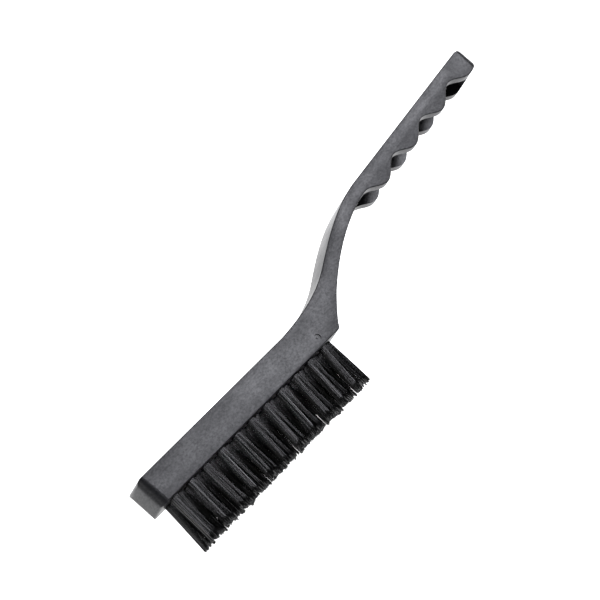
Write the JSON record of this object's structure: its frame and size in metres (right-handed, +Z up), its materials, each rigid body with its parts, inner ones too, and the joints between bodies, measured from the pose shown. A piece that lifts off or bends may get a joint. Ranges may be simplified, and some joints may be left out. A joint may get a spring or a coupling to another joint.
{
  "type": "wheel brush",
  "caption": "Hand-held wheel brush lying on its side: moulded plastic head block, bent neck and finger-grooved handle, with rows of stiff black bristle tufts.",
  "frame": {"origin": "centre of the brush's footprint as it lies on its side, at the height of the resting face", "axes": "+X along the head block towards the handle, +Y from the bristle tips to the back of the brush, +Z up, across the brush's width"},
  "size_m": [0.275, 0.0728, 0.0185],
  "materials": {
    "moulded_plastic": "satin, faintly mottled by mould flow",
    "nylon_bristle": "semi-gloss filaments",
    "anchor_wire": "flattened wire"
  },
  "bodies": {
    "root": {"body": "moulded_plastic", "tuft_near_01": "nylon_bristle", "tuft_near_02": "nylon_bristle", "tuft_near_03": "nylon_bristle", "tuft_near_04": "nylon_bristle", "tuft_near_05": "nylon_bristle", "tuft_near_06": "nylon_bristle", "tuft_near_07": "nylon_bristle", "tuft_near_08": "nylon_bristle", "tuft_near_09": "nylon_bristle", "tuft_near_10": "nylon_bristle", "tuft_near_11": "nylon_bristle", "tuft_middle_01": "nylon_bristle", "tuft_middle_02": "nylon_bristle", "tuft_middle_03": "nylon_bristle", "tuft_middle_04": "nylon_bristle", "tuft_middle_05": "nylon_bristle", "tuft_middle_06": "nylon_bristle", "tuft_middle_07": "nylon_bristle", "tuft_middle_08": "nylon_bristle", "tuft_middle_09": "nylon_bristle", "tuft_middle_10": "nylon_bristle", "tuft_middle_11": "nylon_bristle", "tuft_far_01": "nylon_bristle", "tuft_far_02": "nylon_bristle", "tuft_far_03": "nylon_bristle", "tuft_far_04": "nylon_bristle", "tuft_far_05": "nylon_bristle", "tuft_far_06": "nylon_bristle", "tuft_far_07": "nylon_bristle", "tuft_far_08": "nylon_bristle", "tuft_far_09": "nylon_bristle", "tuft_far_10": "nylon_bristle", "tuft_far_11": "nylon_bristle", "anchor_near_01": "anchor_wire", "anchor_near_02": "anchor_wire", "anchor_near_03": "anchor_wire", "anchor_near_04": "anchor_wire", "anchor_near_05": "anchor_wire", "anchor_near_06": "anchor_wire", "anchor_near_07": "anchor_wire", "anchor_near_08": "anchor_wire", "anchor_near_09": "anchor_wire", "anchor_near_10": "anchor_wire", "anchor_near_11": "anchor_wire", "anchor_middle_01": "anchor_wire", "anchor_middle_02": "anchor_wire", "anchor_middle_03": "anchor_wire", "anchor_middle_04": "anchor_wire", "anchor_middle_05": "anchor_wire", "anchor_middle_06": "anchor_wire", "anchor_middle_07": "anchor_wire", "anchor_middle_08": "anchor_wire", "anchor_middle_09": "anchor_wire", "anchor_middle_10": "anchor_wire", "anchor_middle_11": "anchor_wire"}
  },
  "joints": []
}
